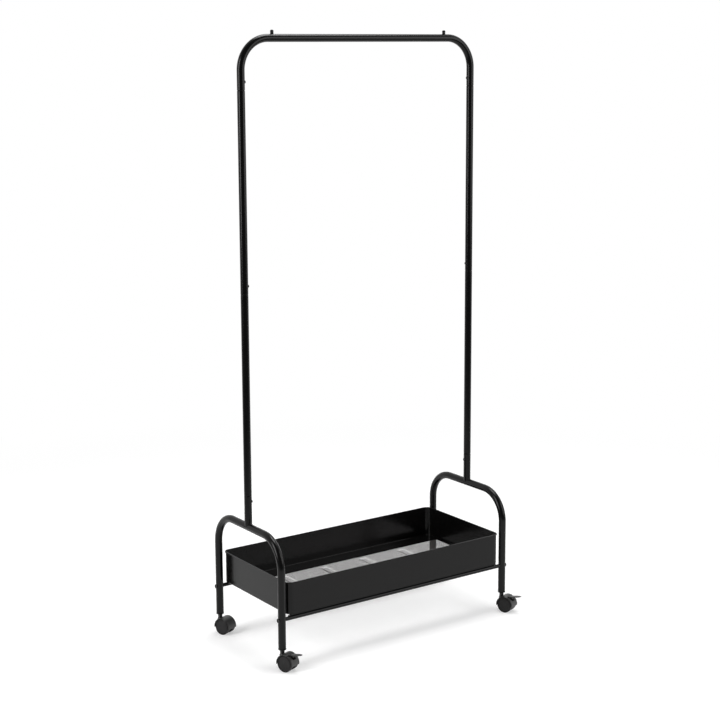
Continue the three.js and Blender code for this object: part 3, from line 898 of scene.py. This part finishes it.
def caster_place(row, hand):
    """From a caster's own axes to its place under a leg, turned as the CAD's caster is."""
    foot = Vector((post_x[hand], leg_y[row]))
    trail = centre_of(f"{row}_{hand}_caster_axle").xy - foot
    yaw = atan2(trail.y, trail.x) + pi / 2
    return place_at(*foot) @ Matrix.Rotation(yaw, 4, "Z")


def at_axle(solid):
    return moved(solid, place_at(0, -caster_trail, wheel_radius))


def at_brake(solid):
    return moved(solid, place_at(0, -caster_trail - brake_back, wheel_radius + brake_up))


def hood_shell():
    """Half ring over both wheels, its long edges rounded and its two lips eased."""
    solid = bmesh.new()
    steps = 40
    start, end = -hood_skirt, pi + hood_skirt
    easing = [
        (hood_lip / hood_outer * (1 - sin(turn)), hood_lip * (1 - cos(turn)))
        for turn in (pi / 2, pi / 3, pi / 6, 0.0)
    ]
    stations = [(start + ahead, inset) for ahead, inset in easing]
    stations += [(start + (end - start) * step / steps, 0.0) for step in range(1, steps)]
    stations += [(end - ahead, inset) for ahead, inset in reversed(easing)]
    rings = []
    for angle, inset in stations:
        half = wheel_outer_face - inset
        outer = hood_outer - inset
        inner = hood_inner + inset
        section = rounded([
            (-half, inner, 0.3 * mm),
            (-half, outer, hood_edge - inset),
            (half, outer, hood_edge - inset),
            (half, inner, 0.3 * mm),
        ], loop=True, steps=4)
        rings.append(add_ring(solid, [
            (x, radius * cos(angle), radius * sin(angle)) for x, radius in section
        ]))
    return skin(solid, rings, capped=True)


def fork_disc():
    """The middle body between the wheels. It ends inside the hood, so that the two join."""
    steps = 40
    radius = (hood_inner + hood_outer) / 2
    angles = [-fork_skirt + (pi + 2 * fork_skirt) * step / steps for step in range(steps + 1)]
    outline = [(radius * cos(angle), radius * sin(angle)) for angle in angles]
    return extruded(outline, -fork_half, fork_half)


def swivel_boss():
    """Round tower for the stem, flared where it leaves the hood."""
    flare_top = wheel_radius + hood_outer - boss_flare_drop
    outline = [
        (0, boss_top),
        (boss_radius, boss_top, 0.5 * mm),
        (boss_radius, flare_top, 1.5 * mm),
        (boss_radius + boss_flare, flare_top - 2 * boss_flare, 1 * mm),
        (boss_radius + boss_flare, wheel_radius),
        (0, wheel_radius),
    ]
    return turned(rounded(outline), 40)


def brake_ear(side):
    inner = side * (lever_width / 2 + seat_gap)
    outer = inner + side * ear_thickness
    foot = hood_inner - brake_up - overlap
    outline = [(-ear_radius * 1.15, foot), (ear_radius * 1.15, foot)]
    steps = 16
    outline += [
        (ear_radius * cos(pi * step / steps), ear_radius * sin(pi * step / steps))
        for step in range(steps + 1)
    ]
    return at_brake(extruded(outline, min(inner, outer), max(inner, outer)))


def brake_window():
    """Opening round the lever's hub and shoe."""
    half = lever_width / 2 + seat_gap
    back = shoe_back + window_clearance
    front = ear_radius + window_clearance
    return at_brake(block((-half, -back, wheel_radius / 2 - brake_up), (half, front, front)))


def caster_hood(has_brake):
    wheel_room = hood_inner - seat_gap
    pocket_depth = wheel_outer_face - fork_half + overlap
    parts = [at_axle(hood_shell()), at_axle(fork_disc())]
    parts.append(at_axle(along_x(spindle(fork_hub, -fork_half, fork_half))))
    parts.append(swivel_boss())
    cuts = []
    for side in (-1, 1):
        pocket = spindle(wheel_room, fork_half, fork_half + pocket_depth, segments=64)
        cuts.append(at_axle(along_x(pocket, side=side)))
    cuts.append(at_axle(along_x(spindle(axle_radius + seat_gap, -wheel_radius, wheel_radius))))
    cuts.append(spindle(stem_pivot + seat_gap, boss_top - pivot_depth, boss_top + overlap))
    if has_brake:
        parts += [brake_ear(-1), brake_ear(1)]
        cuts.append(brake_window())
        cuts.append(at_brake(along_x(spindle(pin_radius + seat_gap, -wheel_radius, wheel_radius))))
    return combined("DIFFERENCE", combined("UNION", *parts), *cuts)


def caster_wheel(side):
    """A moulded wheel: rounded tread, flat rim ring, thin groove and a dished face; hollow inside."""
    face_back = wheel_outer_face - wheel_face_wall
    rim_inside = wheel_radius - wheel_tread_wall
    ring_inside = wheel_radius - wheel_rim
    face = wheel_outer_face - wheel_face_depth
    outline = [
        (0, face_back),
        (axle_radius + seat_gap, face_back),
        (axle_radius + seat_gap, wheel_inner_face, 0.3 * mm),
        (wheel_hub, wheel_inner_face, 0.3 * mm),
        (wheel_hub, face_back, 0.8 * mm),
        (rim_inside, face_back, 0.8 * mm),
        (rim_inside, wheel_inner_face, 0.3 * mm),
        (wheel_radius, wheel_inner_face, 0.7 * mm),
        (wheel_radius, wheel_outer_face, 0.9 * mm),
        (ring_inside, wheel_outer_face, 0.3 * mm),
        (ring_inside - 0.3 * mm, face - wheel_groove, 0.2 * mm),
        (ring_inside - 0.9 * mm, face - wheel_groove, 0.2 * mm),
        (ring_inside - 1.5 * mm, face, 0.5 * mm),
        (wheel_radius * 0.32, face + wheel_dome, 3 * mm),
        (0, face + wheel_dome),
    ]
    wheel = turned(rounded(outline), 64)
    return at_axle(along_x(wheel, side=side))


def leg_plug():
    """Plug in the leg's end with a chamfered collar below it."""
    bore = stem_radius + seat_gap
    inside = tube_radius - tube_wall - seat_gap
    collar = tube_radius + plug_overhang
    top = plug_foot + plug_depth
    outline = [
        (bore, plug_foot, 0.2 * mm),
        (collar - plug_chamfer, plug_foot, 0.2 * mm),
        (collar, plug_foot + plug_chamfer, 0.3 * mm),
        (collar, plug_foot + plug_flange, 0.2 * mm),
        (inside, plug_foot + plug_flange),
        (inside, top, 0.8 * mm),
        (bore, top, 0.2 * mm),
    ]
    return turned(rounded(outline, loop=True, steps=3), 40, loop=True)


def caster_stem():
    """Steel stem with its washer-like collar and the pivot that turns in the boss."""
    collar_top = collar_foot + stem_collar_height
    top = plug_foot + plug_depth - seat_gap
    outline = [
        (0, boss_top - pivot_depth + seat_gap),
        (stem_pivot, boss_top - pivot_depth + seat_gap, 0.5 * mm),
        (stem_pivot, collar_foot),
        (stem_collar, collar_foot, 0.4 * mm),
        (stem_collar, collar_top, 0.4 * mm),
        (stem_radius, collar_top),
        (stem_radius, top, 0.6 * mm),
        (0, top),
    ]
    return turned(rounded(outline, steps=3), 36)


def lever_thickness_at(share):
    return lever_thickness + (lever_tip_thickness - lever_thickness) * share


def lever_plate():
    """Plate from the pin back to the lever's narrow round tip."""
    plate = bmesh.new()
    rings = []
    stations = 20
    for station in range(stations + 1):
        share = station / stations
        ease = max(0.0, (share - lever_taper_start) / (1 - lever_taper_start))
        half_width = lever_width / 2 * sqrt(1 - (lever_taper * ease) ** 2)
        thickness = lever_thickness_at(share) * (1 - 0.35 * ease**4)
        section = rounded_rectangle(2 * half_width, thickness, thickness * 0.35, 3)
        rings.append(add_ring(plate, [
            (u, -lever_reach * share, lever_tip_rise * share + v) for u, v in section
        ]))
    return skin(plate, rings, capped=True)


def brake_lever():
    """Foot lever: a hub on the pin, a tapering plate with a ridged tip and a shoe beneath."""
    half = lever_width / 2
    hub = along_x(spindle(ear_radius - seat_gap, -half, half, 0.4 * mm))
    shoe_half = half - shoe_inset
    shoe = block((-shoe_half, -shoe_back, -shoe_drop), (shoe_half, -shoe_front, shoe_top))
    ridges = []
    for index in range(ridge_count):
        share = ridge_start + ridge_spacing * index
        bar = along_x(spindle(ridge_radius, -half * 0.55, half * 0.55, 0.2 * mm, 14))
        height = lever_tip_rise * share + lever_thickness_at(share) / 2
        sunk = height - ridge_radius * 0.3
        ridges.append(moved(bar, place_at(0, -lever_reach * share, sunk)))
    solid = combined("UNION", lever_plate(), hub, shoe, *ridges)
    bore = along_x(spindle(pin_radius + seat_gap, -lever_width, lever_width))
    return at_brake(combined("DIFFERENCE", solid, bore))


def add_casters():
    axle_end = wheel_outer_face - wheel_face_wall - seat_gap
    for row in rows:
        for hand in hands:
            corner = f"{row}_{hand}"
            place = caster_place(row, hand)
            swivel = f"{corner}_swivel"
            has_brake = row == "front"
            rod = at_axle(along_x(spindle(axle_radius, -axle_end, axle_end, 0.5 * mm)))
            pieces = [
                ("leg_collar", leg_plug(), "plug_plastic", "frame", "leg_plug"),
                ("stem", caster_stem(), "stem_steel", "frame", "caster_stem"),
                ("hood", caster_hood(has_brake), "caster_plastic", swivel, "caster_hood"),
                ("axle_rod", rod, "stem_steel", swivel, "caster_axle"),
            ]
            for wheel_hand, wheel_side in hands.items():
                pieces.append((
                    f"{wheel_hand}_wheel_moulding",
                    caster_wheel(wheel_side),
                    "wheel_plastic",
                    f"{corner}_{wheel_hand}_wheel",
                    f"caster_{wheel_hand}_wheel",
                ))
            if has_brake:
                pin_end = lever_width / 2 + seat_gap + ear_thickness
                pin = at_brake(along_x(spindle(pin_radius, -pin_end, pin_end, 0.3 * mm, 20)))
                pieces.append(("pin", pin, "stem_steel", swivel, "brake_pin"))
                pieces.append(("lever", brake_lever(), "caster_plastic", f"{corner}_brake", "brake_lever"))
            for name, solid, finish, body, node in pieces:
                add_piece(f"{corner}_{name}", moved(solid, place), finish, body, [f"{corner}_{node}"])


# ---------------- stage, lamps and camera

view_azimuth = radians(-34.99)  # the photograph's
camera_pitch = radians(9.81)  # downwards
camera_roll = radians(-0.25)
camera_location = (-2.2397, -3.1599, 1.4833)
camera_lens = 77.57  # millimetres, on a sensor 36 wide
camera_shift = -0.06
away = Vector((-sin(view_azimuth), cos(view_azimuth), 0))  # from the camera towards the backdrop
middle_height = 0.75  # of the rack, where the lamps point
floor_reach = 60
floor_thickness = 0.02
lit_radius = 1.0  # of the part of the floor that the lamps light
lit_fade = 1.4  # over which the floor goes over into the studio
floor_albedo = 0.7
floor_lift = 0.38  # what the camera and gloss see added to the lit floor, so that it reads white
room_level = 0.12  # what surfaces reflect of the room in front of the rack
lit_level = 0.4  # what lights surfaces from the whole room
backdrop_start = -0.35  # cosine of the angle from the backdrop's middle at which the room ends
backdrop_full = 0.15  # and at which the backdrop is fully white


def math_node(tree, operation, *values):
    made = add_node(tree, "ShaderNodeMath", dict(enumerate(values)), operation=operation)
    return made.outputs["Value"]


def interpolated(tree, share, low, high):
    made = add_node(tree, "ShaderNodeMapRange", {"Value": share, "To Min": low, "To Max": high})
    return made.outputs["Result"]


def rays(tree):
    """(camera, mirrored): 1 for a ray from the camera, and 1 for one from gloss or glass."""
    path = add_node(tree, "ShaderNodeLightPath", {})
    mirrored = math_node(
        tree, "MAXIMUM", path.outputs["Is Glossy Ray"], path.outputs["Is Transmission Ray"],
    )
    return path.outputs["Is Camera Ray"], mirrored


def surroundings(tree, direction):
    """Level of the studio in a direction: white to the camera, and to gloss a white backdrop behind
    the rack and a dim room in front of it; an even level for the light it sends."""
    camera, mirrored = rays(tree)
    towards = add_node(tree, "ShaderNodeVectorMath", {0: direction, 1: away}, operation="DOT_PRODUCT")
    backdrop = add_node(tree, "ShaderNodeMapRange", {
        "Value": towards.outputs["Value"],
        "From Min": backdrop_start,
        "From Max": backdrop_full,
        "To Min": room_level,
        "To Max": 1.0,
    }, interpolation_type="SMOOTHSTEP")
    level = interpolated(tree, mirrored, lit_level, backdrop.outputs["Result"])
    return interpolated(tree, camera, level, 1.0)


def add_floor():
    """Pale floor, lit round the rack and going over into the studio further out."""
    tree = new_finish("studio_floor")
    camera, mirrored = rays(tree)
    place = add_node(tree, "ShaderNodeNewGeometry", {}).outputs["Position"]
    paper = noise(tree, 0.9, 2)
    tint = blended(tree, paper, [floor_albedo - 0.01] * 3, [floor_albedo + 0.01] * 3)
    matt = add_node(tree, "ShaderNodeBsdfDiffuse", {"Color": tint})
    lift = math_node(tree, "MULTIPLY", math_node(tree, "MAXIMUM", camera, mirrored), floor_lift)
    glow = add_node(tree, "ShaderNodeEmission", {"Strength": lift})
    lit = add_node(tree, "ShaderNodeAddShader", {0: matt.outputs["BSDF"], 1: glow.outputs["Emission"]})
    outward = add_node(tree, "ShaderNodeVectorMath", {0: place}, operation="NORMALIZE")
    studio = add_node(tree, "ShaderNodeEmission", {
        "Strength": surroundings(tree, outward.outputs["Vector"]),
    })
    reach = add_node(tree, "ShaderNodeVectorMath", {0: place}, operation="LENGTH")
    outside = add_node(tree, "ShaderNodeMapRange", {
        "Value": reach.outputs["Value"],
        "From Min": lit_radius,
        "From Max": lit_radius + lit_fade,
    }, interpolation_type="SMOOTHSTEP")
    both = add_node(tree, "ShaderNodeMixShader", {
        "Fac": outside.outputs["Result"],
        1: lit.outputs["Shader"],
        2: studio.outputs["Emission"],
    })
    add_node(tree, "ShaderNodeOutputMaterial", {"Surface": both.outputs["Shader"]})
    slab = block((-floor_reach, -floor_reach, -floor_thickness), (floor_reach, floor_reach, 0))
    floor = mesh_object("studio_floor", slab)
    floor.data.materials.append(finishes["studio_floor"])


def add_world():
    world = bpy.data.worlds.new("studio")
    scene.world = world
    world.use_nodes = True
    tree = world.node_tree
    tree.nodes.clear()
    direction = add_node(tree, "ShaderNodeTexCoord", {}).outputs["Generated"]
    sky = add_node(tree, "ShaderNodeBackground", {
        "Color": (1, 1, 1, 1),
        "Strength": surroundings(tree, direction),
    })
    add_node(tree, "ShaderNodeOutputWorld", {"Surface": sky.outputs["Background"]})


def add_softbox(name, turn, height, distance, width, length, level):
    """A soft lamp that faces the rack's middle. Turn is degrees round from the camera, to its right.
    Level is how bright its face is, where a white surface in plain light is 1."""
    bearing = view_azimuth + radians(turn)
    place = Vector((sin(bearing) * distance, -cos(bearing) * distance, height))
    data = bpy.data.lights.new(name, "AREA")
    data.shape = "RECTANGLE"
    data.size = width
    data.size_y = length
    data.energy = level * 4 * width * length  # Cycles spreads a quarter of the power over the face
    lamp = bpy.data.objects.new(name, data)
    scene.collection.objects.link(lamp)
    lamp.location = place
    facing = Vector((0, 0, middle_height)) - place
    lamp.rotation_euler = facing.to_track_quat("-Z", "Y").to_euler()
    lamp.visible_camera = False


def add_lamps():
    add_softbox("left_box", turn=-54, height=1.7, distance=3.0, width=1.0, length=2.2, level=7.0)
    add_softbox("right_box", turn=72, height=1.7, distance=3.0, width=2.2, length=2.2, level=2.2)
    add_softbox("top_box", turn=150, height=3.3, distance=0.5, width=1.4, length=1.4, level=7.0)


def add_camera():
    data = bpy.data.cameras.new("camera")
    camera = bpy.data.objects.new("camera", data)
    scene.collection.objects.link(camera)
    camera.location = camera_location
    heading = Matrix.Rotation(view_azimuth, 4, "Z") @ Matrix.Rotation(pi / 2 - camera_pitch, 4, "X")
    camera.rotation_euler = (heading @ Matrix.Rotation(camera_roll, 4, "Z")).to_euler()
    data.sensor_width = 36
    data.lens = camera_lens
    data.shift_y = camera_shift
    data.clip_end = 200
    scene.camera = camera


add_frame_tubes()
add_fasteners()
add_basket()
add_casters()
add_floor()
add_world()
add_lamps()
add_camera()
scene.view_settings.view_transform = "Standard"
